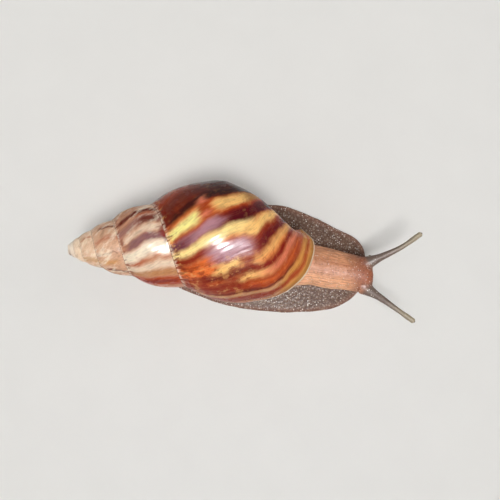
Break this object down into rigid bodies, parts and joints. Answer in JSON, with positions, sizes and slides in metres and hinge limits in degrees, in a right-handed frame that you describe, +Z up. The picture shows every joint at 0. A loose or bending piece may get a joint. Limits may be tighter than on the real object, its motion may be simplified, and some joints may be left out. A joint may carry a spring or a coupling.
{
  "type": "giant african land snail",
  "caption": "Life-size still land snail crawling on a broad flat sole, with a tall conical spiral shell and its eye tentacles stretched forward.",
  "frame": {"origin": "middle of the whole animal's box, on the floor under it", "axes": "+X towards the head, +Y to the animal's left, +Z up"},
  "size_m": [0.1052, 0.0429, 0.0383],
  "materials": {
    "shell": "glossy living shell, maroon flames on golden orange, cream spire",
    "mantle": "moist, smooth",
    "foot_skin": "moist, finely warted, mauve brown",
    "back_skin": "moist, warted",
    "neck_skin": "moist, with fine lengthwise grooves",
    "head_skin": "moist, finely grained",
    "tentacle_skin": "moist, slightly translucent",
    "eye": "dark, wet"
  },
  "bodies": {
    "root": {"shell": "shell", "mantle_collar": "mantle", "tail": "foot_skin", "foot": "foot_skin", "back": "back_skin", "neck": "neck_skin", "head": "head_skin", "mouth": "head_skin", "tentacle_upper_left": "tentacle_skin", "tentacle_upper_right": "tentacle_skin", "tentacle_lower_left": "tentacle_skin", "tentacle_lower_right": "tentacle_skin", "eye_left": "eye", "eye_right": "eye"}
  },
  "joints": []
}
